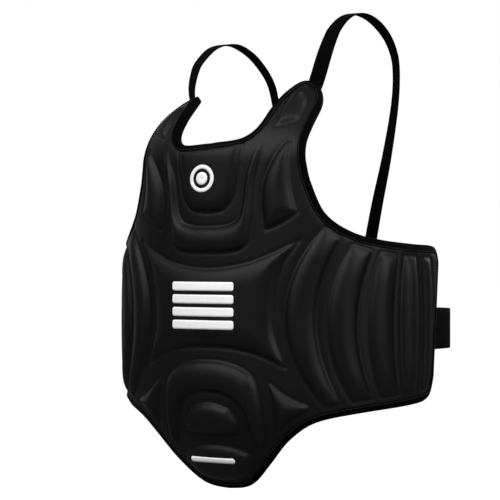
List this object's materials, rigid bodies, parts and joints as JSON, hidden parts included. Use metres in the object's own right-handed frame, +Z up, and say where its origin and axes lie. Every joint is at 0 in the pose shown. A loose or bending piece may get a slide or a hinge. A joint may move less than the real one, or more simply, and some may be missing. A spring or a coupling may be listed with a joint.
{
  "type": "chest protector",
  "caption": "Wrap-around foam chest protector with raised pads, bound edges, elastic shoulder straps and a waist belt that closes on a ring.",
  "frame": {"origin": "on the upright axis of the wearer's torso, at the height of the shell's lower tip", "axes": "+Z up, the chest faces -Y, +X is the wearer's left"},
  "size_m": [0.448, 0.3237, 0.5988],
  "materials": {
    "cover": "satin synthetic leather with a fine grain",
    "foam": "closed-cell foam",
    "lining": "knitted mesh",
    "binding": "woven tape",
    "print": "matt printed ink",
    "strap": "ribbed elastic",
    "belt": "ribbed elastic webbing",
    "loop": "brushed loop pile",
    "hook": "moulded hooks",
    "ring": "moulded plastic"
  },
  "bodies": {
    "root": {"lining": "lining", "foam_core": "foam", "outer_cover": "cover", "chest_pad": "cover", "chest_bolster": "cover", "star_pad": "cover", "belly_arch": "cover", "navel_pad": "cover", "tongue_pad": "cover", "left_chest_pad": "cover", "right_chest_pad": "cover", "left_shoulder_pad": "cover", "right_shoulder_pad": "cover", "left_hip_pad": "cover", "right_hip_pad": "cover", "left_rib_pad_1": "cover", "left_rib_pad_2": "cover", "left_rib_pad_3": "cover", "left_rib_pad_4": "cover", "left_rib_pad_5": "cover", "right_rib_pad_1": "cover", "right_rib_pad_2": "cover", "right_rib_pad_3": "cover", "right_rib_pad_4": "cover", "right_rib_pad_5": "cover", "top_binding": "binding", "hem_binding": "binding", "left_wing_binding": "binding", "right_wing_binding": "binding", "chest_emblem": "print", "centre_print": "print", "tongue_print": "print", "left_strap_front_end": "strap", "right_strap_front_end": "strap", "left_strap_back_end": "strap", "right_strap_back_end": "strap", "belt": "belt", "loop_patch": "loop", "belt_ring": "ring", "ring_keeper": "belt"},
    "left_strap_arch": {"left_strap": "strap"},
    "right_strap_arch": {"right_strap": "strap"},
    "belt_end_flap": {"belt_end": "belt", "hook_patch": "hook"}
  },
  "joints": [
    {"name": "left_strap_swing", "type": "hinge", "parent": "root", "child": "left_strap_arch", "pos_m": [0.0778, -0.038, 0.4991], "axis": [-0.1547, 0.5748, -0.8035], "range_deg": [-20, 20]},
    {"name": "right_strap_swing", "type": "hinge", "parent": "root", "child": "right_strap_arch", "pos_m": [-0.0893, -0.0652, 0.4794], "axis": [-0.1871, -0.6493, 0.7371], "range_deg": [-20, 20]},
    {"name": "belt_end_peel", "type": "hinge", "parent": "root", "child": "belt_end_flap", "pos_m": [-0.2025, 0.073, 0.196], "axis": [0, 0, 1], "range_deg": [0, 110]}
  ]
}
